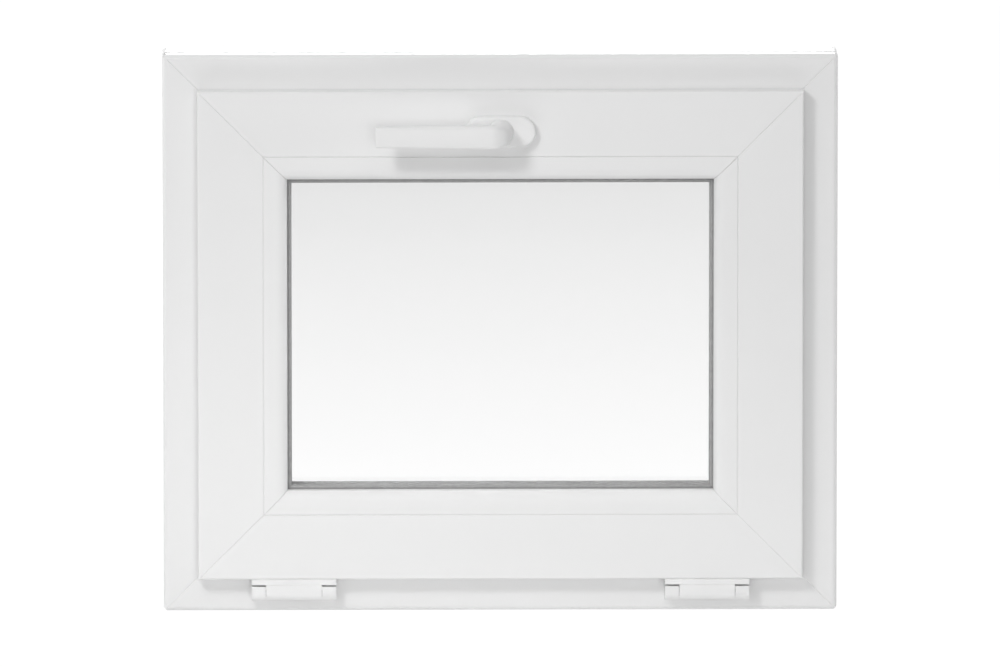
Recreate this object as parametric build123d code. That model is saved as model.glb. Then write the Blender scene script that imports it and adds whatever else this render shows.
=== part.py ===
from build123d import *
import os

# Overall sizes, in millimetres.
window_width = 600.0
window_height = 500.0
frame_depth = 60.0

# Main frame profile, measured inward from the outer edge and back from the room face.
frame_leg = 39.0
frame_stop_leg = 64.0
frame_stop_front = 45.0
frame_edge_radius = 4.0
frame_corner_clip = 3.0

# Sash, set forward of the frame and overlapping it.
sash_overlap = 8.0
sash_proud = 18.0
sash_depth = 60.0
sash_lip = 20.0
sash_lip_thickness = 15.0
sash_face = 58.0
sash_stop_leg = 78.0
sash_stop_thickness = 16.0
glazing_rebate = 56.5

# Profile walls, slots and grooves.
outer_wall = 2.8
web = 2.0
seal_slot = 3.0
seal_slot_depth = 4.5
glazing_slot_depth = 3.5
seal_foot_gap = 0.2
seal_slot_inset = 9.0
seal_width = 9.0
seal_round = 1.2
lip_seal_inset = 3.0
lip_seal_width = 5.8
anchor_groove = 3.5
anchor_groove_width = 8.0
anchor_groove_inset = 12.0
drain_chamber = 8.4
keeper_groove = 1.5
keeper_groove_width = 12.0
keeper_groove_inset = 21.5
slope = 4.0
slope_drop = 3.0
hardware_mouth = 12.0
hardware_mouth_depth = 3.0
hardware_width = 16.0
hardware_depth = 12.0
hardware_axis = 17.0
weld_groove = 0.45

# Glazing.
glass_edge = 62.0
pane_thickness = 4.0
pane_gap = 16.0
pane_arris = 0.4
glass_front = -1.0
spacer_inset = 5.0
spacer_height = 7.5
spacer_wall = 0.8
block_length = 80.0
block_inset = 72.0
block_side_play = 0.5
block_thickness = glass_edge - glazing_rebate

# Glazing bead.
bead_joint = 0.4
bead_top = 79.4
bead_round = 10.0
bead_back = -4.0
bead_wall = 2.4
bead_foot_base = 54.0
bead_foot = 4.8
bead_foot_inset = 5.4
bead_foot_gap = 0.4
bead_mitre_gap = 0.15
bead_seal_root = 8.0
bead_seal_edge = 83.4
outer_seal_edge = 81.4
outer_seal_lip = 1.0
outer_seal_root = 12.0

# Handle on the middle of the top rail.
handle_backset = 15.0
rosette_length = 62.5
rosette_width = 27.5
rosette_height = 10.0
rosette_wall = 1.6
handle_screw_spacing = 43.0
handle_screw_hole = 5.2
rosette_round = 2.2
base_play = 0.3
neck_root_diameter = 24.4
neck_top_diameter = 20.4
spigot_diameter = 18.0
spigot_length = 4.0
turning_gap = 0.3
grip_reach = 111.0
grip_front = 47.0
grip_thickness = 12.5
grip_tip_width = 18.0
grip_round = 4.0
grip_tip_round = 0.8
elbow_outer_round = 15.0
elbow_inner_round = 8.0
spindle_size = 7.0
spindle_hole = 12.0
spindle_depth = 36.0
spindle_socket = 14.0

# Hinges under the sash.
hinge_inset = 85.0
hinge_width = 75.0
hinge_axis_forward = 12.0
hinge_axis_height = 17.6
hinge_radius = 6.0
hinge_end_knuckle = 12.4
hinge_side_gap = 0.35
hinge_plate = 5.0
hinge_line_gap = 1.5
hinge_base = 3.0
hinge_pin = 6.0
hinge_pin_gap = 0.2

# Wall fixings and drainage.
fixing_plug = 10.0
fixing_clearance = 0.2
fixing_inset = 100.0
fixing_depth = 26.0
drain_slot_length = 25.0
drain_slot_height = 5.0
drain_height = 12.0
drain_outer_inset = 75.0
drain_inner_inset = 115.0
drain_cap_margin = 5.5
drain_cap_depth = 5.0
drain_cap_wall = 1.6

# Places that follow from the sizes above.
half_depth = frame_depth / 2
middle = window_height / 2
sash_offset = frame_leg - sash_overlap
sash_width = window_width - 2 * sash_offset
sash_height = window_height - 2 * sash_offset
sash_front = -sash_proud
sash_back = sash_depth - sash_proud
lip_back = sash_front + sash_lip_thickness
stop_front = sash_back - sash_stop_thickness
glass_width = sash_width - 2 * glass_edge
glass_height = sash_height - 2 * glass_edge
glass_back = glass_front + 2 * pane_thickness + pane_gap
frame_slot = frame_stop_leg - seal_slot_inset
glazing_slot = sash_stop_leg - seal_slot_inset
bead_foot_front = sash_front + bead_foot_inset
handle_height = window_height - sash_offset - sash_lip - handle_backset
sash_face_y = sash_front - half_depth
drain_outer_x = window_width / 2 - drain_outer_inset
drain_inner_x = window_width / 2 - drain_inner_inset
hinge_centre = sash_width / 2 - hinge_inset


def profile(points):
    """Section of a bar from rows of inward distance, depth and corner radius."""
    places = [(depth - half_depth, inward) for inward, depth, radius in points]
    radii = [radius for inward, depth, radius in points]
    return make_face(FilletPolyline(*places, radius=radii, close=True))


def hollow(inward_from, inward_to, depth_from, depth_to):
    """Hollow of a profile."""
    size = (depth_to - depth_from, inward_to - inward_from)
    centre = ((depth_from + depth_to) / 2 - half_depth, (inward_from + inward_to) / 2)
    return Pos(*centre) * Rectangle(*size)


def mitre_block(length, gap, clip):
    """Block with ends at 45 degrees that trims a bar, its outer corners clipped."""
    half = length / 2 - gap
    reach = sash_offset + bead_seal_edge
    ends = [(half - clip, 0), (half - clip / 2, clip / 2)] if clip else [(half, 0)]
    ends.append((half - reach, reach))
    outline = ends + [(-x, z) for x, z in reversed(ends)]
    face = Plane.XZ * make_face(Polyline(*outline, close=True))
    return extrude(face, 2 * frame_depth, both=True)


def weld_line(length, side, depth):
    """Shallow V groove along the mitre of a welded corner."""
    edge = weld_groove * 2**0.5
    stick = Rot(45, 0, 0) * Box(window_height, edge, edge)
    return Pos(side * length / 2, depth - half_depth, 0) * Rot(0, 45 * side, 0) * stick


def bar(section, length, gap=0.0, clip=0.0, weld_depths=()):
    """Mitred bar lying along X, its outer edge on z = 0."""
    solid = extrude(Plane.YZ * section, length / 2, both=True)
    solid = solid & mitre_block(length, gap, clip)
    for depth in weld_depths:
        solid -= weld_line(length, 1, depth)
        solid -= weld_line(length, -1, depth)
    return solid


def on_side(side, width, height):
    """Place of a bar on one side of a ring centred on the window."""
    places = {
        "bottom": Pos(0, 0, middle - height / 2),
        "top": Pos(0, 0, middle + height / 2) * Rot(0, 180, 0),
        "left": Pos(-width / 2, 0, middle) * Rot(0, 90, 0),
        "right": Pos(width / 2, 0, middle) * Rot(0, -90, 0),
    }
    return places[side]


def ring_bars(section, width, height, **trim):
    """The four mitred bars of a ring, by side."""
    across = bar(section, width, **trim)
    upright = bar(section, height, **trim)
    lengths = {"bottom": across, "top": across, "left": upright, "right": upright}
    return {side: on_side(side, width, height) * lengths[side] for side in lengths}


def ring(section, width, height):
    """One closed ring of a section."""
    bars = ring_bars(section, width, height)
    return bars["bottom"] + bars["left"] + bars["top"] + bars["right"]


def slot_points(start, face, depth, width):
    """Corners of a square slot in a face, in the order of rising inward distance."""
    return [
        (start, face, 0),
        (start, face + depth, 0),
        (start + width, face + depth, 0),
        (start + width, face, 0),
    ]


def frame_section():
    """Outer frame: anchor grooves outside, hollow body, outer stop with a seal slot."""
    near = anchor_groove_inset
    near_end = near + anchor_groove_width
    far_end = frame_depth - near
    far = far_end - anchor_groove_width
    keeper = keeper_groove_inset
    keeper_end = keeper + keeper_groove_width
    points = [
        (0, 0, frame_edge_radius),
        (frame_leg, 0, 0.8),
        (frame_leg, keeper, 0),
        (frame_leg - keeper_groove, keeper, 0),
        (frame_leg - keeper_groove, keeper_end, 0),
        (frame_leg, keeper_end, 0),
        (frame_leg, frame_stop_front, 0),
        *slot_points(frame_slot, frame_stop_front, seal_slot_depth, seal_slot),
        (frame_stop_leg, frame_stop_front, 1.0),
        (frame_stop_leg, frame_depth - slope_drop, 1.5),
        (frame_stop_leg - slope, frame_depth, 1.5),
        (0, frame_depth, 2.0),
        (0, far_end, 0),
        (anchor_groove, far_end, 0),
        (anchor_groove, far, 0),
        (0, far, 0),
        (0, near_end, 0),
        (anchor_groove, near_end, 0),
        (anchor_groove, near, 0),
        (0, near, 0),
    ]
    inner = frame_leg - outer_wall
    body = anchor_groove + outer_wall
    first = near - outer_wall
    drain = frame_stop_front - 1 - drain_chamber
    last = frame_depth - outer_wall
    slot_floor = frame_stop_front + seal_slot_depth + outer_wall
    section = profile(points)
    section -= hollow(outer_wall, inner, outer_wall, first)
    section -= hollow(body, inner - keeper_groove, first + web, drain - web)
    section -= hollow(body, inner, drain, drain + drain_chamber)
    section -= hollow(body, inner, drain + drain_chamber + web, last)
    room = frame_stop_front + outer_wall
    section -= hollow(inner + web, frame_slot - outer_wall, room, last)
    section -= hollow(frame_slot - web / 2, frame_stop_leg - slope, slot_floor, last)
    return section


def sash_section():
    """Sash: overlapping lip, hardware groove, bead groove and outer glazing leg."""
    foot = bead_foot_front
    foot_end = foot + bead_foot + 2 * bead_foot_gap
    mouth = hardware_axis - hardware_mouth / 2
    mouth_end = hardware_axis + hardware_mouth / 2
    wide = hardware_axis - hardware_width / 2
    wide_end = hardware_axis + hardware_width / 2
    neck = sash_lip + hardware_mouth_depth
    floor = sash_lip + hardware_depth
    lip_slot = lip_seal_inset + seal_slot
    points = [
        (0, sash_front, 1.5),
        (sash_face, sash_front, 0.6),
        (sash_face, foot - bead_foot_gap, 0),
        (bead_foot_base, foot - bead_foot_gap, 0),
        (bead_foot_base, foot_end - bead_foot_gap, 0),
        (glazing_rebate, foot_end - bead_foot_gap, 0),
        (glazing_rebate, stop_front, 0),
        *slot_points(glazing_slot, stop_front, glazing_slot_depth, seal_slot),
        (sash_stop_leg, stop_front, 1.0),
        (sash_stop_leg, sash_back - slope_drop, 1.5),
        (sash_stop_leg - slope, sash_back, 1.5),
        (sash_lip, sash_back, 1.5),
        (sash_lip, mouth_end, 0),
        (neck, mouth_end, 0),
        (neck, wide_end, 0),
        (floor, wide_end, 0),
        (floor, wide, 0),
        (neck, wide, 0),
        (neck, mouth, 0),
        (sash_lip, mouth, 0),
        (sash_lip, lip_back, 0),
        (lip_slot, lip_back, 0),
        (lip_slot, lip_back - seal_slot_depth, 0),
        (lip_seal_inset, lip_back - seal_slot_depth, 0),
        (lip_seal_inset, lip_back, 0),
        (0, lip_back, 0.8),
    ]
    face_wall = sash_front + outer_wall
    back_wall = sash_back - outer_wall
    deep = bead_foot_base - outer_wall
    base = glazing_rebate - outer_wall
    seal_floor = lip_back - seal_slot_depth - outer_wall
    front_end = foot_end + bead_foot_gap
    room = front_end + web
    hook = sash_lip + outer_wall
    inner = floor + web + 1
    slot_floor = stop_front + glazing_slot_depth + outer_wall
    section = profile(points)
    section -= hollow(outer_wall, sash_lip - web, face_wall, seal_floor)
    section -= hollow(sash_lip, deep, face_wall, front_end)
    section -= hollow(hook, floor, room, wide - web)
    section -= hollow(inner, base, room, stop_front - outer_wall)
    section -= hollow(hook, floor, wide_end + web, back_wall)
    section -= hollow(inner, base, stop_front - outer_wall + web, back_wall)
    room = stop_front + outer_wall
    section -= hollow(base + web, glazing_slot - web, room, back_wall)
    section -= hollow(glazing_slot - 0.4, sash_stop_leg - slope, slot_floor, back_wall)
    return section


def bead_section():
    """Glazing bead: flat face, round inner edge and a foot that clips into the sash."""
    edge = sash_face + bead_joint
    foot = bead_foot_front
    foot_end = foot + bead_foot
    points = [
        (edge, sash_front, 0.6),
        (bead_top, sash_front, bead_round),
        (bead_top, bead_back, 0.4),
        (edge, bead_back, 0),
        (edge, foot_end, 0),
        (bead_foot_base, foot_end, 0),
        (bead_foot_base, foot, 0),
        (edge, foot, 0),
    ]
    top = bead_top - bead_round + bead_wall
    room = (sash_front + bead_wall, bead_back - bead_wall)
    return profile(points) - hollow(edge + bead_wall, top, *room)


def bead_seal_section():
    """Soft lip between the bead and the glass, sloping down to the pane."""
    root = bead_top - bead_seal_root
    points = [
        (root, bead_back, 0),
        (bead_top, bead_back, 0),
        (bead_seal_edge, glass_front - 0.8, 0.3),
        (bead_seal_edge, glass_front, 0),
        (root, glass_front, 0),
    ]
    return profile(points)


def outer_seal_section():
    """Outer glazing seal, its foot pushed into the slot of the glazing leg."""
    foot = glazing_slot + seal_foot_gap
    foot_end = glazing_slot + seal_slot - seal_foot_gap
    deep = stop_front + glazing_slot_depth - seal_foot_gap
    root = sash_stop_leg - outer_seal_root
    points = [
        (root, glass_back, 0),
        (outer_seal_edge, glass_back, 0),
        (outer_seal_edge, glass_back + outer_seal_lip, 0.3),
        (sash_stop_leg - 1.0, stop_front, 0),
        (foot_end, stop_front, 0),
        (foot_end, deep, 0),
        (foot, deep, 0),
        (foot, stop_front, 0),
        (root, stop_front, 0),
    ]
    return profile(points)


def frame_seal_section():
    """Seal on the stop of the frame, pressed by the back of the sash."""
    foot = frame_slot + seal_foot_gap
    foot_end = frame_slot + seal_slot - seal_foot_gap
    deep = frame_stop_front + seal_slot_depth - seal_foot_gap
    end = frame_stop_leg - web
    start = end - seal_width
    points = [
        (start, sash_back, seal_round),
        (end, sash_back, seal_round),
        (end, frame_stop_front, 0),
        (foot_end, frame_stop_front, 0),
        (foot_end, deep, 0),
        (foot, deep, 0),
        (foot, frame_stop_front, 0),
        (start, frame_stop_front, 0),
    ]
    return profile(points)


def sash_seal_section():
    """Seal on the lip of the sash, pressed on the room face of the frame."""
    foot = lip_seal_inset + seal_foot_gap
    foot_end = lip_seal_inset + seal_slot - seal_foot_gap
    deep = lip_back - seal_slot_depth + seal_foot_gap
    start = lip_seal_inset - seal_round
    end = start + lip_seal_width
    points = [
        (start, lip_back, 0),
        (foot, lip_back, 0),
        (foot, deep, 0),
        (foot_end, deep, 0),
        (foot_end, lip_back, 0),
        (end, lip_back, 0),
        (end, 0, seal_round),
        (start, 0, seal_round),
    ]
    return profile(points)


def fixing_holes():
    """Through holes for the wall plugs in both jambs."""
    hole = Rot(0, 90, 0) * Cylinder(
        (fixing_plug + fixing_clearance) / 2, window_width + 20
    )
    rows = [fixing_inset, window_height - fixing_inset]
    return [Pos(0, fixing_depth - half_depth, z) * hole for z in rows]


def slot(length, height, depth):
    """Round-ended slot cutter along X, opening along Y."""
    return extrude(Plane.XZ * SlotOverall(length, height), depth / 2, both=True)


def drained(sill):
    """The sill with its drain slots: down from the rebate, then out at the front."""
    chamber = frame_stop_front - 1 - drain_chamber / 2
    for x in (-drain_inner_x, drain_inner_x):
        down = Rot(90, 0, 0) * slot(drain_slot_length, drain_slot_height, drain_chamber)
        sill -= Pos(x, chamber - half_depth, frame_leg) * down
    for x in (-drain_outer_x, drain_outer_x):
        through = 2 * (frame_depth - chamber)
        out = slot(drain_slot_length, drain_slot_height, through)
        sill -= Pos(x, half_depth, drain_height) * out
    return sill


def drain_cap(x):
    """Hood over an outer drain slot, open underneath."""
    length = drain_slot_length + 2 * drain_cap_margin
    height = drain_slot_height + 2 * drain_cap_margin - 3
    wall = drain_cap_wall
    hood = Box(length, drain_cap_depth, height)
    hood = fillet(hood.edges().filter_by(Axis.Y), 3.0)
    hood = fillet(hood.faces().sort_by(Axis.Y)[-1].edges(), 1.2)
    inside = Box(length - 2 * wall, drain_cap_depth - wall, height - wall)
    hood -= Pos(0, -wall / 2, -wall / 2) * inside
    return Pos(x, half_depth + drain_cap_depth / 2, drain_height + 1) * hood


def frame_parts():
    """Four welded frame members and the seal on their stop."""
    welds = (0.0, frame_depth)
    trim = {"clip": frame_corner_clip, "weld_depths": welds}
    bars = ring_bars(frame_section(), window_width, window_height, **trim)
    for side in ("left", "right"):
        for hole in fixing_holes():
            bars[side] -= hole
    return {
        "frame_sill": drained(bars["bottom"]),
        "frame_head": bars["top"],
        "frame_jamb_left": bars["left"],
        "frame_jamb_right": bars["right"],
        "frame_seal": ring(frame_seal_section(), window_width, window_height),
        "drain_cap_left": drain_cap(-drain_outer_x),
        "drain_cap_right": drain_cap(drain_outer_x),
    }


def sash_parts():
    """Four welded sash members, the lip seal and the beads."""
    welds = (sash_front, sash_back)
    bars = ring_bars(sash_section(), sash_width, sash_height, weld_depths=welds)
    beads = ring_bars(bead_section(), sash_width, sash_height, gap=bead_mitre_gap)
    depth = stop_front - outer_wall - sash_front
    bore = Rot(90, 0, 0) * Cylinder(spindle_hole / 2, depth)
    bore = Pos(0, sash_face_y + depth / 2, handle_height) * bore
    return {
        "sash_top_rail": bars["top"] - bore,
        "sash_bottom_rail": bars["bottom"],
        "sash_stile_left": bars["left"],
        "sash_stile_right": bars["right"],
        "sash_seal": ring(sash_seal_section(), sash_width, sash_height),
        "glazing_bead_top": beads["top"],
        "glazing_bead_bottom": beads["bottom"],
        "glazing_bead_left": beads["left"],
        "glazing_bead_right": beads["right"],
        "bead_gasket": ring(bead_seal_section(), sash_width, sash_height),
        "outer_glazing_gasket": ring(outer_seal_section(), sash_width, sash_height),
    }


def pane(front):
    """One sheet of glass with ground edges, its front at this depth."""
    sheet = Box(glass_width, pane_thickness, glass_height)
    sheet = chamfer(sheet.edges(), pane_arris)
    return Pos(0, front + pane_thickness / 2 - half_depth, middle) * sheet


def band(inward_from, inward_to, depth_from, depth_to):
    """Rectangular ring around the glass, between two inward distances."""
    thick = depth_to - depth_from
    outer = (sash_width - 2 * inward_from, thick, sash_height - 2 * inward_from)
    inner = (sash_width - 2 * inward_to, 2 * thick, sash_height - 2 * inward_to)
    y = (depth_from + depth_to) / 2 - half_depth
    return Pos(0, y, middle) * (Box(*outer) - Box(*inner))


def setting_blocks():
    """Packers that carry and centre the glass in the sash."""
    depth = glass_back - glass_front + 2 * block_side_play
    y = (glass_front + glass_back) / 2 - half_depth
    across = Box(block_length, depth, block_thickness)
    upright = Box(block_thickness, depth, block_length)
    edge = glass_edge - block_thickness / 2
    x, z = sash_width / 2 - edge, sash_height / 2 - edge
    along = glass_width / 2 - block_inset
    up = glass_height / 2 - block_inset
    blocks = []
    for side in (-1, 1):
        for end in (-1, 1):
            blocks.append(Pos(end * along, y, middle + side * z) * across)
            blocks.append(Pos(side * x, y, middle + end * up) * upright)
    return Compound(children=[block.solid() for block in blocks])


def glass_parts():
    """Sealed double-glazed unit and the packers around it."""
    inside = glass_front + pane_thickness
    outside = inside + pane_gap
    sight = glass_edge + spacer_inset
    top = sight + spacer_height
    tube = band(sight, top, inside, outside)
    room = (sight + spacer_wall, top - spacer_wall)
    tube -= band(*room, inside + spacer_wall, outside - spacer_wall)
    return {
        "glass_pane_inner": pane(glass_front),
        "glass_pane_outer": pane(outside),
        "spacer_bar": tube,
        "edge_sealant": band(glass_edge + 0.6, sight, inside, outside),
        "setting_blocks": setting_blocks(),
    }


def stadium(length, width, height):
    """Upright round-ended plate on the sash face, standing forward."""
    outline = Plane.XZ * SlotOverall(length, width)
    return Pos(0, sash_face_y, handle_height) * extrude(outline, height)


def along_spindle(diameter, length):
    """Round cutter or boss centred on the sash face at the spindle axis."""
    rod = Rot(90, 0, 0) * Cylinder(diameter / 2, length)
    return Pos(0, sash_face_y, handle_height) * rod


def rosette_parts():
    """Fixed base of the handle and the cover clipped over it."""
    through = 3 * rosette_height
    bore = along_spindle(spigot_diameter + 2 * turning_gap, through)
    cover = stadium(rosette_length, rosette_width, rosette_height)
    front = cover.faces().sort_by(Axis.Y)[0]
    cover = fillet(front.edges(), rosette_round)
    length = rosette_length - 2 * rosette_wall
    width = rosette_width - 2 * rosette_wall
    depth = rosette_height - rosette_wall
    room = stadium(length, width, depth)
    base = stadium(length - 2 * base_play, width - 2 * base_play, depth) - bore
    screw = along_spindle(handle_screw_hole, through)
    for side in (-1, 1):
        base -= Pos(side * handle_screw_spacing / 2, 0, 0) * screw
    return {"handle_base": base, "handle_cover": cover - room - bore}


def lever():
    """Grip that turns back through a rounded elbow and a flared neck to the rosette."""
    front = sash_face_y - grip_front
    back = front + grip_thickness
    foot = sash_face_y - rosette_height - turning_gap
    radius = neck_top_diameter / 2
    plan = [
        (-grip_reach, front, 0),
        (radius, front, elbow_outer_round),
        (radius, foot, 0),
        (-radius, foot, 0),
        (-radius, back, elbow_inner_round),
        (-grip_reach, back, 0),
    ]
    places = [(x, y) for x, y, r in plan]
    radii = [r for x, y, r in plan]
    seen_above = make_face(FilletPolyline(*places, radius=radii, close=True))
    above = extrude(Plane.XY * seen_above, neck_root_diameter, both=True)
    tip = Line((-grip_reach, -grip_tip_width / 2), (-grip_reach, grip_tip_width / 2))
    seen_front = make_hull([*Circle(radius).edges(), *tip.edges()])
    ahead = extrude(Plane.XZ * seen_front, 2 * grip_reach, both=True)
    body = above & ahead
    long_edges = [edge for edge in body.edges() if edge.length > grip_reach / 2]
    body = fillet(long_edges, grip_round)
    body = fillet(body.faces().sort_by(Axis.X)[0].edges(), grip_tip_round)
    height = foot - back + grip_thickness / 2
    flare = Rot(90, 0, 0) * Cone(neck_root_diameter / 2, radius - 0.2, height)
    body += Pos(0, foot - height / 2, 0) * flare
    body = Pos(0, 0, handle_height) * body
    reach = rosette_height + turning_gap - spigot_length
    spigot = Rot(90, 0, 0) * Cylinder(spigot_diameter / 2, spigot_length + 1)
    body += Pos(0, sash_face_y - reach - (spigot_length + 1) / 2, handle_height) * spigot
    return body - spindle()


def spindle():
    """Square bar from the lever into the sash."""
    length = rosette_height + spindle_socket + spindle_depth
    rod = Box(spindle_size, length, spindle_size)
    y = sash_face_y + spindle_depth - length / 2
    return Pos(0, y, handle_height) * rod


def hinge_profile(back_y, top_z):
    """Section of a knuckle: flat front and top, round underneath."""
    y = -hinge_axis_forward - half_depth
    low = hinge_axis_height - hinge_radius
    front = y - hinge_radius
    points = [(front, low), (back_y, low), (back_y, top_z), (front, top_z)]
    radii = [hinge_radius, 0, 0, 0.6]
    return Plane.YZ * make_face(FilletPolyline(*points, radius=radii, close=True))


def hinge(x):
    """Sash leaf, frame leaf and pin of one hinge."""
    axis_y = -hinge_axis_forward - half_depth
    room_face = -half_depth
    top = sash_offset - hinge_plate
    line = top - hinge_line_gap
    barrel_width = hinge_width - 2 * hinge_end_knuckle - 2 * hinge_side_gap
    rod = Rot(0, 90, 0) * Cylinder(hinge_pin / 2, hinge_width - 1)
    hole = Rot(0, 90, 0) * Cylinder(hinge_pin / 2 + hinge_pin_gap, 2 * hinge_width)
    barrel = extrude(
        hinge_profile(axis_y + hinge_radius, top), barrel_width / 2, both=True
    )
    plate_depth = lip_back + sash_proud
    plate = Box(hinge_width, plate_depth, hinge_plate)
    plate = Pos(0, sash_face_y + plate_depth / 2, top + hinge_plate / 2) * plate
    edge = plate.edges().filter_by(Axis.X).sort_by(Axis.Y)[:2].sort_by(Axis.Z)[-1]
    plate = chamfer(edge, 1.0)
    end_x = (hinge_width - hinge_end_knuckle) / 2
    knuckle = extrude(
        hinge_profile(room_face - hinge_base, line), hinge_end_knuckle / 2, both=True
    )
    base_low = hinge_axis_height - hinge_radius - hinge_base
    base_height = line - base_low
    base = Box(hinge_width, hinge_base, base_height)
    base = fillet(base.edges().filter_by(Axis.Y), 2.0)
    base = Pos(0, room_face - hinge_base / 2, base_low + base_height / 2) * base
    place = Pos(0, axis_y, hinge_axis_height)
    sash_leaf = barrel + plate - place * hole
    frame_leaf = base + Pos(-end_x, 0, 0) * knuckle + Pos(end_x, 0, 0) * knuckle
    frame_leaf -= place * Rot(0, 90, 0) * Cylinder(hinge_pin / 2, 2 * hinge_width)
    move = Pos(x, 0, 0)
    return move * sash_leaf, move * frame_leaf, move * place * rod


def hinge_parts():
    """Both hinges under the bottom rail."""
    parts = {}
    for side, x in (("left", -hinge_centre), ("right", hinge_centre)):
        sash_leaf, frame_leaf, pin = hinge(x)
        parts[f"hinge_{side}_sash_leaf"] = sash_leaf
        parts[f"hinge_{side}_frame_leaf"] = frame_leaf
        parts[f"hinge_{side}_pin"] = pin
    return parts


def main():
    os.makedirs("parts", exist_ok=True)
    parts = {**frame_parts(), **sash_parts(), **glass_parts(), **rosette_parts()}
    parts["handle_lever"] = lever()
    parts["handle_spindle"] = spindle()
    parts.update(hinge_parts())
    for node, shape in parts.items():
        export_step(shape, f"parts/{node}.step")
        print(node, len(shape.solids()), round(shape.volume))


main()
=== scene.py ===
"""A small bottom-hung window of white plastic profiles, dressed for its picture.

Pieces are drawn in millimetres, as in the profile drawings. Blender's own values are in metres.
"""

import math

import bmesh
import bpy
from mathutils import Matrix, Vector


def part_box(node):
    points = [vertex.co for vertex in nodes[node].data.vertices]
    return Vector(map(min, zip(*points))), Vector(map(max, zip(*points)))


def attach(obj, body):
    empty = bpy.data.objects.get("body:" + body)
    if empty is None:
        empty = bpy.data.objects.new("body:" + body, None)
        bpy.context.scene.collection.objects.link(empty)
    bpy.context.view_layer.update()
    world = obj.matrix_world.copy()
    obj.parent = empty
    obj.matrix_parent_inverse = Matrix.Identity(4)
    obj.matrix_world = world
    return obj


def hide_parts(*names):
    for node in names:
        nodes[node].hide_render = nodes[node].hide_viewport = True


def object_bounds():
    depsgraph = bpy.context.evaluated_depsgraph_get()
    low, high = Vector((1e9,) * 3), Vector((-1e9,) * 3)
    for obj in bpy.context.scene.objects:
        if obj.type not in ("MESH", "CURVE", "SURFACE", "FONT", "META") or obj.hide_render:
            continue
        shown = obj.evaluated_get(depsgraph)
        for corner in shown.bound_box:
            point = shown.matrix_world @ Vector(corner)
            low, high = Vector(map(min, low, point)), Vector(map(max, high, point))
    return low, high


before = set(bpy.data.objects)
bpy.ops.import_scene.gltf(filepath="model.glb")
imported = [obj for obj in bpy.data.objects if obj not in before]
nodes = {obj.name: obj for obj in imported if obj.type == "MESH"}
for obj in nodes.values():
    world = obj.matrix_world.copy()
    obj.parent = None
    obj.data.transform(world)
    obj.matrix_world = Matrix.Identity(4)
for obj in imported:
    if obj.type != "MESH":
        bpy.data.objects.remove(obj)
cad_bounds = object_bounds()
scene = bpy.context.scene
mm = 0.001


# Node trees: a wrapped socket, and builders for finishes and for grown pieces


class Value:
    """A number in a node tree, with arithmetic that adds Math nodes."""

    def __init__(self, works, socket):
        self.works = works
        self.socket = socket

    def worked(self, operation, first, second):
        return self.works.node("ShaderNodeMath", {"operation": operation}, {0: first, 1: second})

    def __add__(self, other):
        return self.worked("ADD", self, other)

    def __radd__(self, other):
        return self.worked("ADD", other, self)

    def __sub__(self, other):
        return self.worked("SUBTRACT", self, other)

    def __rsub__(self, other):
        return self.worked("SUBTRACT", other, self)

    def __mul__(self, other):
        return self.worked("MULTIPLY", self, other)

    def __rmul__(self, other):
        return self.worked("MULTIPLY", other, self)

    def __truediv__(self, other):
        return self.worked("DIVIDE", self, other)

    def __rtruediv__(self, other):
        return self.worked("DIVIDE", other, self)


class Works:
    """A node tree that is being built."""

    tree = None

    def node(self, kind, settings=None, sockets=None, output=0):
        made = self.tree.nodes.new(kind)
        for name, setting in (settings or {}).items():
            if name == "stops":
                lay_stops(made.color_ramp, setting)
            else:
                setattr(made, name, setting)
        for name, value in (sockets or {}).items():
            self.feed(made.inputs[name], value)
        return Value(self, made.outputs[output]) if len(made.outputs) else None

    def feed(self, socket, value):
        for one in value if isinstance(value, list) else [value]:
            if isinstance(one, Value):
                self.tree.links.new(one.socket, socket)
            else:
                socket.default_value = one


class Finish(Works):
    """A material or a world that is being built."""

    def __init__(self, owner):
        self.owner = owner
        owner.use_nodes = True
        self.tree = owner.node_tree
        self.tree.nodes.clear()

    def place(self, scale=(1, 1, 1)):
        """Where a point of the piece is, in metres, stretched by scale."""
        here = self.node("ShaderNodeTexCoord", output="Object")
        return self.node("ShaderNodeMapping", {}, {"Vector": here, "Scale": scale})

    def noise(self, vector, scale, detail=2.0, roughness=0.5):
        sockets = {"Vector": vector, "Scale": scale, "Detail": detail, "Roughness": roughness}
        return self.node("ShaderNodeTexNoise", {}, sockets)

    def ranged(self, value, low, high):
        """Stretches a noise value, which runs from about 0.3 to 0.7, over low to high."""
        sockets = {"Value": value, "From Min": 0.3, "From Max": 0.7, "To Min": low, "To Max": high}
        return self.node("ShaderNodeMapRange", {}, sockets)

    def ramp(self, factor, stops):
        """A colour that changes along stops, each a place from 0 to 1 and a colour."""
        return self.node("ShaderNodeValToRGB", {"stops": stops}, {"Fac": factor})

    def shade(self, factor, dark, light):
        """A grey or colour between two shades."""
        return self.ramp(factor, [(0.0, dark), (1.0, light)])

    def bump(self, height, distance, under=None):
        """A relief of that height in metres, over another one where there is one."""
        sockets = {"Height": height, "Distance": distance}
        if under is not None:
            sockets["Normal"] = under
        return self.node("ShaderNodeBump", {}, sockets)

    def principled(self, **sockets):
        named = {name.replace("_", " "): value for name, value in sockets.items()}
        return self.node("ShaderNodeBsdfPrincipled", {}, named)

    def done(self, surface):
        self.node("ShaderNodeOutputMaterial", {}, {"Surface": surface})
        return self.owner


def lay_stops(ramp, stops):
    while len(ramp.elements) < len(stops):
        ramp.elements.new(0.5)
    for element, (position, colour) in zip(ramp.elements, stops):
        element.position = position
        element.color = colour


def finish(name):
    return Finish(bpy.data.materials.new(name))


def grey(level):
    return (level, level, level, 1.0)


# Finishes


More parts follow.
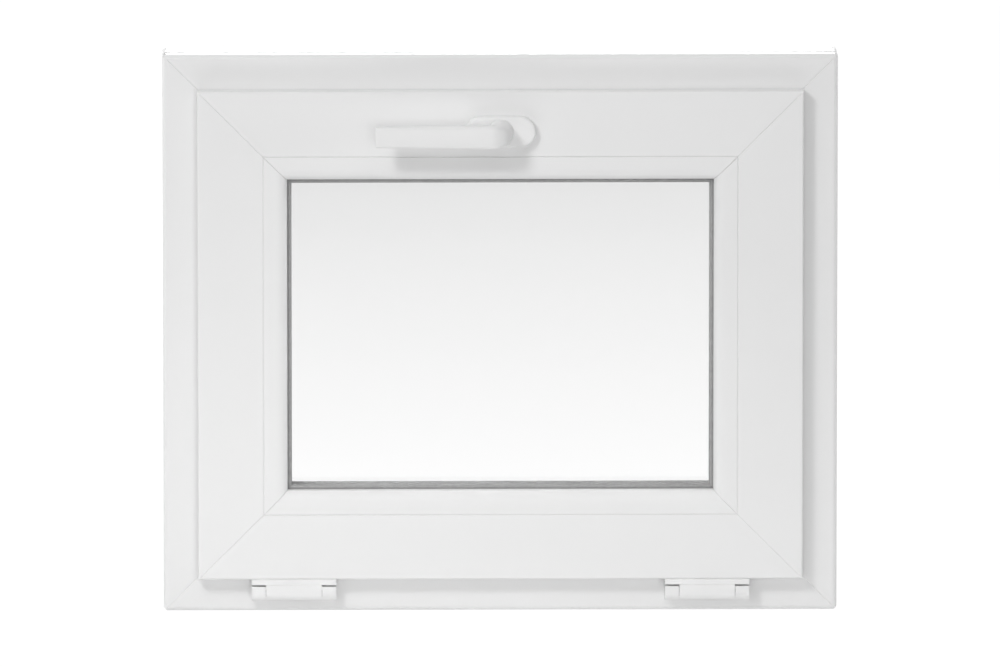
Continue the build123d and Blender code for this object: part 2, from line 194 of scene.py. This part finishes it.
def white_profile(name, along):
    """Extruded white plastic: die lines along the bar over a faint orange peel."""
    made = finish(name)
    slow, fine = 6, 900
    lines = (slow, fine, fine) if along == "x" else (fine, fine, slow)
    die_lines = made.noise(made.place(scale=lines), scale=1.0, detail=3.0)
    peel = made.noise(made.place(), scale=700.0)
    waves = made.noise(made.place(), scale=9.0, detail=1.0)
    tone = made.ranged(made.noise(made.place(), scale=5.0, detail=3.0), 0.0, 1.0)
    waved = made.bump(waves, distance=0.0006)
    peeled = made.bump(peel, distance=0.000004, under=waved)
    lined = made.bump(die_lines, distance=0.000006, under=peeled)
    return made.done(made.principled(
        Base_Color=made.shade(tone, grey(0.79), grey(0.81)),
        Roughness=made.ranged(die_lines, 0.36, 0.46),
        Normal=lined,
    ))


def coated_metal():
    """White powder coat on cast metal, with its fine peel."""
    made = finish("white_powder_coat")
    peel = made.noise(made.place(), scale=850.0)
    patches = made.noise(made.place(), scale=30.0)
    return made.done(made.principled(
        Base_Color=made.shade(patches, grey(0.785), grey(0.805)),
        Roughness=made.ranged(peel, 0.32, 0.36),
        Normal=made.bump(peel, distance=0.000012),
    ))


def moulded_plastic():
    """White moulded plastic with a fine spark-eroded grain."""
    made = finish("white_moulded_plastic")
    grain = made.noise(made.place(), scale=1600.0)
    patches = made.noise(made.place(), scale=40.0)
    return made.done(made.principled(
        Base_Color=made.shade(made.ranged(patches, 0.0, 1.0), grey(0.79), grey(0.82)),
        Roughness=made.ranged(grain, 0.42, 0.52),
        Normal=made.bump(grain, distance=0.00001),
    ))


def rubber_finish(name, dark, light):
    """Extruded gasket rubber, a little chalky."""
    made = finish(name)
    chalk = made.noise(made.place(), scale=260.0, detail=4.0, roughness=0.7)
    return made.done(made.principled(
        Base_Color=made.shade(made.ranged(chalk, 0.0, 1.0), grey(dark), grey(light)),
        Roughness=made.ranged(chalk, 0.55, 0.75),
        Normal=made.bump(chalk, distance=0.00003),
    ))


def rolled_aluminium():
    """Bright rolled aluminium strip."""
    made = finish("rolled_aluminium")
    rolling = made.noise(made.place(scale=(40, 1200, 40)), scale=1.0, detail=3.0)
    return made.done(made.principled(
        Base_Color=made.shade(rolling, grey(0.66), grey(0.78)),
        Metallic=1.0,
        Roughness=made.ranged(rolling, 0.24, 0.36),
        Normal=made.bump(rolling, distance=0.00001),
    ))


def dark_sealant():
    """Black edge sealant, tooled by hand."""
    made = finish("dark_edge_sealant")
    lumps = made.noise(made.place(), scale=320.0, detail=3.0)
    return made.done(made.principled(
        Base_Color=made.shade(lumps, grey(0.012), grey(0.03)),
        Roughness=made.ranged(lumps, 0.35, 0.6),
        Normal=made.bump(lumps, distance=0.0002),
    ))


def block_plastic():
    """Hard plastic packers, mottled."""
    made = finish("packer_plastic")
    mottle = made.noise(made.place(), scale=120.0, detail=3.0)
    return made.done(made.principled(
        Base_Color=made.shade(mottle, (0.08, 0.16, 0.32, 1), (0.1, 0.2, 0.38, 1)),
        Roughness=made.ranged(mottle, 0.4, 0.55),
    ))


def turned_steel():
    """Drawn steel bar."""
    made = finish("drawn_steel")
    drawn = made.noise(made.place(scale=(1200, 60, 1200)), scale=1.0, detail=3.0)
    return made.done(made.principled(
        Base_Color=made.shade(drawn, grey(0.42), grey(0.55)),
        Metallic=1.0,
        Roughness=made.ranged(drawn, 0.3, 0.45),
    ))


def clear_glass():
    """Float glass that lets lamps through, greyer towards its upper edge as a painted reflection."""
    made = finish("float_glass")
    lowest, highest = 0.112, 0.388
    here = made.node("ShaderNodeTexCoord", output="Object")
    height = made.node("ShaderNodeSeparateXYZ", {}, {"Vector": here}, output="Z")
    span = {"Value": height, "From Min": lowest, "From Max": highest, "To Min": 0.0, "To Max": 1.0}
    up = made.node("ShaderNodeMapRange", {}, span)
    # Painted reflection: the pane's colour darkens from its lower edge up to its upper edge, in place of a
    # reflection that darkens upwards.
    painted_reflection_greys = [
        (0.0, grey(0.978)), (0.33, grey(0.943)), (0.6, grey(0.907)), (0.85, grey(0.868)), (1.0, grey(0.87)),
    ]
    pane = made.principled(
        Base_Color=made.ramp(up, painted_reflection_greys),
        Roughness=0.0,
        IOR=1.5,
        Transmission_Weight=1.0,
    )
    lamp_ray = made.node("ShaderNodeLightPath", output="Is Shadow Ray")
    through = made.node("ShaderNodeBsdfTransparent", {}, {"Color": grey(0.96)})
    return made.done(made.node("ShaderNodeMixShader", {}, {0: lamp_ray, 1: pane, 2: through}))


def clad(material, *names):
    """Gives CAD nodes their finish."""
    for name in names:
        slots = nodes[name].data.materials
        slots.clear()
        slots.append(material)


# Sizes that the frame gives


def box_mm(node):
    """The lowest and highest corner of a CAD node at rest, in millimetres."""
    lowest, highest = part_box(node)
    return lowest / mm, highest / mm


def line_in(node, inset):
    """Half width, low and high edge of the rectangle that lies inset within a node's outline."""
    lowest, highest = box_mm(node)
    return highest.x - inset, lowest.z + inset, highest.z - inset


# Shared tools for pieces


class Growth(Works):
    """A Geometry Nodes tree that is being built, with named sizes in metres or counts."""

    def __init__(self, name, sizes):
        self.name = name
        self.sizes = sizes
        self.tree = bpy.data.node_groups.new(name, "GeometryNodeTree")
        sockets = self.tree.interface
        sockets.new_socket("Geometry", in_out="OUTPUT", socket_type="NodeSocketGeometry")
        for label, size in sizes.items():
            kind = "NodeSocketInt" if isinstance(size, int) else "NodeSocketFloat"
            sockets.new_socket(label, in_out="INPUT", socket_type=kind)
        self.entry = self.tree.nodes.new("NodeGroupInput")

    def size(self, label):
        return Value(self, self.entry.outputs[label])

    def vector(self, x=0.0, y=0.0, z=0.0):
        return self.node("ShaderNodeCombineXYZ", {}, {"X": x, "Y": y, "Z": z})

    def line(self, count, start, step):
        sockets = {"Count": count, "Start Location": start, "Offset": step}
        return self.node("GeometryNodeMeshLine", {"mode": "OFFSET"}, sockets)

    def bar(self, x, y, z):
        return self.node("GeometryNodeMeshCube", {}, {"Size": self.vector(x, y, z)})

    def moved(self, geometry, by, turned=(0.0, 0.0, 0.0)):
        sockets = {"Geometry": geometry, "Translation": by, "Rotation": turned}
        return self.node("GeometryNodeTransform", {}, sockets)

    def joined(self, *parts):
        return self.node("GeometryNodeJoinGeometry", {}, {"Geometry": list(parts)})

    def repeated(self, points, piece):
        return self.node("GeometryNodeInstanceOnPoints", {}, {"Points": points, "Instance": piece})

    def grown(self, geometry, material, body):
        """Ends the tree, grows it once and keeps the result as a plain mesh."""
        real = self.node("GeometryNodeRealizeInstances", {}, {"Geometry": geometry})
        dressed = self.node("GeometryNodeSetMaterial", {}, {"Geometry": real, "Material": material})
        self.node("NodeGroupOutput", {}, {"Geometry": dressed})
        piece = bpy.data.objects.new(self.name, bpy.data.meshes.new(self.name))
        scene.collection.objects.link(piece)
        growing = piece.modifiers.new("growth", "NODES")
        growing.node_group = self.tree
        for item in self.tree.interface.items_tree:
            if item.in_out == "INPUT":
                growing[item.identifier] = self.sizes[item.name]
        now = bpy.context.evaluated_depsgraph_get()
        mesh = bpy.data.meshes.new_from_object(piece.evaluated_get(now))
        piece.modifiers.remove(growing)
        piece.data = mesh
        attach(piece, body)
        return piece


def made_solid(name, points, faces, material, body, crease=60.0):
    """A closed piece from points in millimetres, smooth but for edges sharper than crease degrees."""
    mesh = bpy.data.meshes.new(name)
    mesh.from_pydata([Vector(point) * mm for point in points], [], faces)
    shell = bmesh.new()
    shell.from_mesh(mesh)
    bmesh.ops.recalc_face_normals(shell, faces=shell.faces)
    shell.to_mesh(mesh)
    shell.free()
    mesh.polygons.foreach_set("use_smooth", [True] * len(mesh.polygons))
    mesh.set_sharp_from_angle(angle=math.radians(crease))
    mesh.materials.append(material)
    piece = bpy.data.objects.new(name, mesh)
    scene.collection.objects.link(piece)
    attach(piece, body)
    return piece


def tube_faces(rings, around):
    """Faces between rings of points in a row, with both ends closed."""
    faces = []
    for ring in range(rings - 1):
        for spot in range(around):
            after = (spot + 1) % around
            first, second = ring * around, (ring + 1) * around
            faces.append((first + spot, first + after, second + after, second + spot))
    last = (rings - 1) * around
    faces.append(tuple(range(around)))
    faces.append(tuple(last + spot for spot in range(around)))
    return faces


def rounded_section(half_wide, half_high, corner, steps=7):
    """Points (across, up) round a rectangle with rounded corners."""
    points = []
    for quarter, (side, rise) in enumerate(((1, 1), (-1, 1), (-1, -1), (1, -1))):
        for step in range(steps + 1):
            turn = math.radians(90.0 * (quarter + step / steps))
            across = side * (half_wide - corner) + corner * math.cos(turn)
            up = rise * (half_high - corner) + corner * math.sin(turn)
            points.append((across, up))
    return points


def blended(first, second, share):
    return first + (second - first) * share


# Lever: its tip, front and axis come from the CAD lever, the rest from the drawing of its plan

lever_low, lever_high = box_mm("handle_lever")
lever_axis = (lever_low.z + lever_high.z) / 2
grip_tip = lever_low.x
grip_front, grip_thick = lever_low.y, 12.5
grip_back = grip_front + grip_thick
elbow_outer, elbow_inner = 19.0, 8.0
cover_gap = 0.3
neck_foot = box_mm("handle_cover")[0].y - cover_gap
neck_top = grip_front + elbow_outer
neck_foot_half, neck_half, neck_lean = 11.6, 10.2, 1.5
grip_half_high, tip_half_high = 10.2, 9.0
grip_corner, tip_corner, tip_round = 3.0, 2.4, 0.8


def neck_stations():
    """The neck, which narrows quickly just above its foot."""
    stations = []
    for share in (0.0, 0.03, 0.1, 0.3, 0.6, 1.0):
        half = blended(neck_foot_half, neck_half, math.sqrt(share))
        depth = blended(neck_foot, neck_top, share)
        almost_round = half * 0.999
        stations.append(((half, depth), (-half, depth + neck_lean * share), half, almost_round))
    return stations


def elbow_stations(outer_centre, inner_centre, bends=14):
    """A quarter turn from the round neck to the flat grip."""
    stations = []
    for bend in range(1, bends + 1):
        share = bend / bends
        turn = math.pi / 2 * share
        across, back = math.cos(turn), math.sin(turn)
        outer = (outer_centre[0] + elbow_outer * across, outer_centre[1] - elbow_outer * back)
        inner = (inner_centre[0] + elbow_inner * across, inner_centre[1] - elbow_inner * back)
        eased = share * share * (3 - 2 * share)
        stations.append((outer, inner, grip_half_high, blended(neck_half, grip_corner, eased)))
    return stations


def grip_stations(outer_start, inner_start):
    """The grip, which gets a little slimmer towards a tip with rounded edges."""
    stations = []
    reach = grip_tip + tip_round
    for share in (0.08, 0.2, 0.4, 0.6, 0.8, 1.0):
        outer = (blended(outer_start, reach, share), grip_front)
        inner = (blended(inner_start, reach, share), grip_back)
        half = blended(grip_half_high, tip_half_high, share)
        stations.append((outer, inner, half, blended(grip_corner, tip_corner, share)))
    for turn in (30, 60, 90):
        lost = tip_round * (1 - math.cos(math.radians(turn)))
        spot = reach - tip_round * math.sin(math.radians(turn))
        outer, inner = (spot, grip_front + lost), (spot, grip_back - lost)
        stations.append((outer, inner, tip_half_high - lost, tip_corner - lost * 0.5))
    return stations


def lever_body(material):
    """The lever: a round neck that bends through one smooth elbow into a flat grip.

    A station is its outer point, inner point, half height and corner radius.
    """
    outer_centre = (neck_half - elbow_outer, grip_front + elbow_outer)
    inner_centre = (-neck_half - elbow_inner, grip_back + elbow_inner)
    stations = neck_stations() + elbow_stations(outer_centre, inner_centre)
    stations += grip_stations(outer_centre[0], inner_centre[0])
    points = []
    for outer, inner, half_high, corner in stations:
        across = Vector((outer[0] - inner[0], outer[1] - inner[1], 0.0))
        middle = Vector(((outer[0] + inner[0]) / 2, (outer[1] + inner[1]) / 2, lever_axis))
        half_wide = across.length / 2
        across.normalize()
        section = rounded_section(half_wide, half_high, min(corner, half_wide, half_high))
        for side, up in section:
            points.append(middle + across * side + Vector((0.0, 0.0, up)))
    faces = tube_faces(len(stations), len(section))
    lever = made_solid("lever_body", points, faces, material, "handle", crease=50.0)
    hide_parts("handle_lever")


# Gaskets and the foot of the glazing beads: for each, the line that it follows and its section

bead_line = line_in("bead_gasket", 8.0)
bead_lip = [
    (-2.0, -31.02), (-2.0, -33.95), (0.15, -33.95), (0.35, -33.45), (0.75, -33.4), (1.05, -33.75),
    (1.5, -33.97), (2.2, -34.0), (3.0, -33.75), (3.6, -33.1), (3.95, -32.2), (4.0, -31.5), (3.8, -31.02),
]
outer_line = line_in("outer_glazing_gasket", 12.0)
outer_lip = [
    (-2.0, -6.98), (-2.0, -4.1), (0.4, -4.1), (0.6, -4.9), (1.1, -4.9), (1.6, -4.2),
    (2.8, -4.0), (3.9, -4.4), (4.5, -5.2), (4.7, -6.2), (4.5, -6.98),
]
# The pale seal that fills the gap behind the sash overlap
sash_low, sash_high = box_mm("sash_bottom_rail")[0], box_mm("sash_top_rail")[1]
overlap_inset = 0.3
overlap_line = (sash_high.x - overlap_inset, sash_low.z + overlap_inset, sash_high.z - overlap_inset)
overlap_lip = [(0.0, -33.05), (0.05, -31.2), (0.5, -30.02), (4.0, -30.02), (4.0, -33.05)]
# The bead's foot, just under the surface in the joint between bead and sash
foot_line = (211.1, 88.9, 411.1)
foot_lip = [(0.0, -46.5), (0.0, -47.3), (0.7, -47.3), (0.7, -46.5)]


def gasket(name, line, lip, cut, material):
    """Four strips of one section round the glass, cut at the corners with a hair of a gap.

    A section's points are their distance from the line, towards the middle of the glass, and their depth.
    """
    half_wide, low, high = line
    points, faces = [], []
    for side in ("bottom", "top", "right", "left"):
        start = len(points)
        for end in (-1, 1):
            for inset, depth in lip:
                across, bottom, top = half_wide - inset, low + inset, high - inset
                if side in ("bottom", "top"):
                    points.append((end * (across - cut), depth, bottom if side == "bottom" else top))
                else:
                    height = bottom + cut if end < 0 else top - cut
                    points.append((across if side == "right" else -across, depth, height))
        faces += [tuple(start + spot for spot in face) for face in tube_faces(2, len(lip))]
    return made_solid(name, points, faces, material, "window")


def seals(rubber, pale_rubber, white):
    """The lips that show of each gasket, and the foot of the glazing beads."""
    bead = gasket("bead_gasket_lip", bead_line, bead_lip, 0.25, rubber)
    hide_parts("bead_gasket")
    outer = gasket("outer_gasket_lip", outer_line, outer_lip, 0.2, rubber)
    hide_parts("outer_glazing_gasket")
    overlap = gasket("overlap_seal_lip", overlap_line, overlap_lip, 0.02, pale_rubber)
    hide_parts("sash_seal")
    foot = gasket("bead_foot", foot_line, foot_lip, 0.05, white)


def curl(name, centre, bend, start, sweep, thick, material):
    """A short tail of gasket that curls at a corner of the glass, from start through sweep degrees."""
    points = []
    steps, around = 10, 8
    for step in range(steps + 1):
        turn = math.radians(start + sweep * step / steps)
        outwards = Vector((math.cos(turn), 0.0, math.sin(turn)))
        middle = Vector(centre) + outwards * bend
        for spot in range(around):
            angle = math.tau * spot / around
            aside = outwards * math.cos(angle) + Vector((0.0, math.sin(angle), 0.0))
            points.append(middle + aside * thick)
    tail = made_solid(name, points, tube_faces(steps + 1, around), material, "window")


def tails(rubber):
    """Three tails of gasket, just behind the beads."""
    depth = -32.6
    curl("gasket_tail_top_right", (186.6, depth, 387.4), 1.6, 60.0, -150.0, 0.55, rubber)
    curl("gasket_tail_bottom_right", (184.6, depth, 112.9), 1.7, 100.0, 210.0, 0.45, rubber)
    curl("gasket_tail_bottom_left", (-186.4, depth, 112.6), 1.3, -30.0, 180.0, 0.5, rubber)


def knuckle_ribs(material):
    """Fine grip ribs over the fixed knuckles of both hinges."""
    leaf_low, leaf_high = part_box("hinge_right_frame_leaf")
    hinge_across = (leaf_low.x + leaf_high.x) / 2
    knuckle_across = 0.0313
    sizes = {
        "Ribs": 6,
        "Pitch": 0.00195,
        "Rib Width": 0.0011,
        "Barrel Radius": 0.00616,
        "Flat Height": 0.0064,
        "Barrel Forward": -0.042,
        "Barrel Height": 0.0176,
        "First Hinge": -hinge_across,
        "Hinge Spacing": hinge_across * 2,
        "First Knuckle": -knuckle_across,
        "Knuckle Spacing": knuckle_across * 2,
    }
    tree = Growth("hinge_knuckle_ribs", sizes)
    radius, wide = tree.size("Barrel Radius"), tree.size("Rib Width")
    flat_high, pitch = tree.size("Flat Height"), tree.size("Pitch")
    sockets = {"Vertices": 28, "Radius": radius, "Depth": wide}
    disc = tree.node("GeometryNodeMeshCylinder", {"fill_type": "NGON"}, sockets)
    turned = tree.moved(disc, tree.vector(), turned=(0.0, math.pi / 2, 0.0))
    raised = tree.moved(tree.bar(wide, radius, flat_high), tree.vector(0.0, radius * -0.5, flat_high * 0.5))
    rib = tree.joined(turned, raised)
    first = pitch * (tree.size("Ribs") - 1) * -0.5
    row = tree.repeated(tree.line(tree.size("Ribs"), tree.vector(first), tree.vector(pitch)), rib)
    knuckle, spacing = tree.size("First Knuckle"), tree.size("Knuckle Spacing")
    pair = tree.repeated(tree.line(2, tree.vector(knuckle), tree.vector(spacing)), row)
    start = tree.vector(tree.size("First Hinge"), tree.size("Barrel Forward"), tree.size("Barrel Height"))
    both = tree.repeated(tree.line(2, start, tree.vector(tree.size("Hinge Spacing"))), pair)
    ribs = tree.grown(both, material, "window")


def painted_spacer_slits(material):
    """Rows of thin black plates just proud of the spacer bar's inner faces: painted shade that stands for
    its breathing slits.
    """
    bar_low, bar_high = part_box("spacer_bar")
    bar_thick = 0.0075
    sizes = {
        "Pitch": 0.0026,
        "Slit Length": 0.0016,
        "Slit Width": 0.0004,
        "Proud": 0.00004,
        "Row Depth": (bar_low.y + bar_high.y) / 2,
        "Half Width": bar_high.x - bar_thick,
        "Half Height": (bar_high.z - bar_low.z) / 2 - bar_thick,
        "Middle Height": (bar_low.z + bar_high.z) / 2,
    }
    tree = Growth("spacer_slits_painted_shade", sizes)
    slit_long, slit_wide, proud = tree.size("Slit Length"), tree.size("Slit Width"), tree.size("Proud")
    # Painted shade: these plates are black to stand for the shade inside the slits, which are not cut as
    # holes.
    lying = tree.bar(slit_long, slit_wide, proud)
    standing = tree.bar(proud, slit_wide, slit_long)
    pitch, depth, middle = tree.size("Pitch"), tree.size("Row Depth"), tree.size("Middle Height")
    half_wide, half_high = tree.size("Half Width"), tree.size("Half Height")
    lying_count = half_wide * 2.0 / pitch - 2.0
    standing_count = half_high * 2.0 / pitch - 2.0
    runs = []
    for side in (-1.0, 1.0):
        start = tree.vector(half_wide * -1.0 + pitch, depth, middle + half_high * side)
        runs.append(tree.repeated(tree.line(lying_count, start, tree.vector(pitch)), lying))
        start = tree.vector(half_wide * side, depth, middle - half_high + pitch)
        runs.append(tree.repeated(tree.line(standing_count, start, tree.vector(0.0, 0.0, pitch)), standing))
    slits = tree.grown(tree.joined(*runs), material, "window")


def dress():
    """Gives every CAD node its finish and adds the pieces made here."""
    rails = white_profile("white_profile_rails", "x")
    stiles = white_profile("white_profile_stiles", "z")
    clad(rails, "frame_sill", "frame_head", "sash_top_rail", "sash_bottom_rail")
    clad(rails, "glazing_bead_top", "glazing_bead_bottom")
    clad(stiles, "frame_jamb_left", "frame_jamb_right", "sash_stile_left", "sash_stile_right")
    clad(stiles, "glazing_bead_left", "glazing_bead_right")
    rubber = rubber_finish("grey_gasket_rubber", 0.31, 0.39)
    pale_rubber = rubber_finish("pale_overlap_rubber", 0.6, 0.68)
    clad(rubber, "frame_seal", "sash_seal", "bead_gasket", "outer_glazing_gasket")
    clad(clear_glass(), "glass_pane_inner", "glass_pane_outer")
    clad(rolled_aluminium(), "spacer_bar")
    sealant = dark_sealant()
    clad(sealant, "edge_sealant")
    clad(block_plastic(), "setting_blocks")
    coat = coated_metal()
    clad(coat, "handle_base", "handle_cover", "handle_lever")
    steel = turned_steel()
    clad(steel, "handle_spindle")
    plastic = moulded_plastic()
    for side in ("left", "right"):
        clad(plastic, f"hinge_{side}_sash_leaf", f"hinge_{side}_frame_leaf", f"drain_cap_{side}")
        clad(steel, f"hinge_{side}_pin")
    lever_body(coat)
    seals(rubber, pale_rubber, rails)
    tails(rubber)
    knuckle_ribs(plastic)
    # Painted shade: black plates for the spacer's breathing slits.
    painted_spacer_slits(sealant)


# Camera, light and floor

camera_aim = Vector((0.00008, 0.0, 0.24514))
camera_azimuth, camera_elevation, camera_distance = -0.733, 8.5, 15.0
camera_sensor, camera_lens, camera_reach = 36.0, 605.66, 60.0
softbox_distance = 2.6
window_middle = Vector((0.0, 0.0, (cad_bounds[0].z + cad_bounds[1].z) / 2))


def towards(azimuth, elevation):
    """The direction from the object to something at that azimuth and elevation, in degrees."""
    turn = math.radians(azimuth)
    rise = math.radians(elevation)
    return Vector((math.sin(turn) * math.cos(rise), -math.cos(turn) * math.cos(rise), math.sin(rise)))


def stand(obj, position, facing):
    """Places a lamp or camera so that it looks from position against facing."""
    obj.location = position
    obj.rotation_mode = "QUATERNION"
    obj.rotation_quaternion = facing.to_track_quat("Z", "Y")
    scene.collection.objects.link(obj)


def camera():
    back = towards(camera_azimuth, camera_elevation)
    data = bpy.data.cameras.new("camera")
    data.sensor_width = camera_sensor
    data.lens = camera_lens
    data.clip_end = camera_reach
    made = bpy.data.objects.new("camera", data)
    stand(made, camera_aim + back * camera_distance, back)
    scene.camera = made


def softbox(name, azimuth, elevation, size, power):
    """A round softbox, out of sight of the camera, that faces the window from a direction."""
    data = bpy.data.lights.new(name, "AREA")
    data.shape = "DISK"
    data.size = size
    data.energy = power
    made = bpy.data.objects.new(name, data)
    made.visible_camera = False
    direction = towards(azimuth, elevation)
    stand(made, window_middle + direction * softbox_distance, direction)


def strip(name, long, wide, power, place, facing):
    """A narrow lamp that neither the camera nor the glass shows."""
    data = bpy.data.lights.new(name, "AREA")
    data.shape = "RECTANGLE"
    data.size = long
    data.size_y = wide
    data.energy = power
    made = bpy.data.objects.new(name, data)
    made.visible_camera = False
    made.visible_glossy = False
    made.visible_transmission = False
    stand(made, place, facing)


def strips():
    """One strip close above the head for its upper side, and three low ones in front of the sill."""
    above_head = Vector((0.0, 0.0175, cad_bounds[1].z + 0.03))
    almost_up = Vector((0.0, 0.02, 1.0))
    strip("head_strip", long=0.62, wide=0.025, power=0.18, place=above_head, facing=almost_up)
    for name, across, power in (
        ("strip_left", -0.35, 0.32),
        ("strip_middle", 0.0, 0.2),
        ("strip_right", 0.35, 0.18),
    ):
        place = Vector((across, -0.42, 0.03))
        target = Vector((across * 0.6, 0.0, 0.05))
        strip(name, long=0.45, wide=0.06, power=power, place=place, facing=place - target)


def studio_world():
    """Soft room light: pale floor light from below, a bright horizon and a brighter ceiling."""
    world = bpy.data.worlds.new("studio_room")
    scene.world = world
    made = Finish(world)
    direction = made.node("ShaderNodeTexCoord", output="Generated")
    rise = made.node("ShaderNodeSeparateXYZ", {}, {"Vector": direction}, output="Z")
    half = made.node("ShaderNodeMapRange", {}, {"Value": rise, "From Min": -1.0, "From Max": 1.0})
    room = [
        (0.0, grey(1.5)),
        (0.1, grey(0.9)),
        (0.26, grey(0.305)),
        (0.482, grey(0.305)),
        (0.488, grey(1.0)),
        (0.512, grey(1.0)),
        (0.518, grey(0.265)),
        (0.75, grey(0.275)),
        (0.9, grey(0.8)),
        (1.0, grey(1.05)),
    ]
    lit = made.node("ShaderNodeBackground", {}, {"Color": made.ramp(half, room), "Strength": 0.9})
    made.node("ShaderNodeOutputWorld", {}, {"Surface": lit})


def pale_floor():
    """A pale matt floor, wide enough to fill the view, that casts neither shadow nor bounce."""
    mesh = bpy.data.meshes.new("floor")
    reach = 40.0
    corners = [(-reach, -reach, 0), (reach, -reach, 0), (reach, reach, 0), (-reach, reach, 0)]
    mesh.from_pydata(corners, [], [(0, 1, 2, 3)])
    made = bpy.data.objects.new("floor", mesh)
    scene.collection.objects.link(made)
    paint = finish("pale_floor")
    fleck = paint.noise(paint.place(), scale=60.0)
    mesh.materials.append(paint.done(paint.principled(
        Base_Color=paint.shade(fleck, grey(0.03), grey(0.04)),
        Roughness=0.9,
        Specular_IOR_Level=0.0,
        Emission_Color=grey(1.0),
        Emission_Strength=1.0,
    )))
    made.visible_diffuse = False
    made.visible_shadow = False


def studio():
    scene.view_settings.view_transform = "Standard"
    camera()
    studio_world()
    pale_floor()
    softbox("key_softbox", azimuth=-27, elevation=32, size=0.55, power=19.6)
    softbox("front_softbox", azimuth=3, elevation=6, size=0.6, power=6.4)
    softbox("upper_softbox", azimuth=10, elevation=40, size=0.6, power=2.6)
    softbox("back_softbox", azimuth=180, elevation=14, size=1.1, power=26.0)
    softbox("side_softbox_left", azimuth=-92, elevation=8, size=0.7, power=13.0)
    softbox("corner_softbox_right", azimuth=70, elevation=8, size=0.6, power=3.5)
    softbox("side_softbox_right", azimuth=114, elevation=10, size=0.7, power=13.0)
    strips()


dress()
studio()
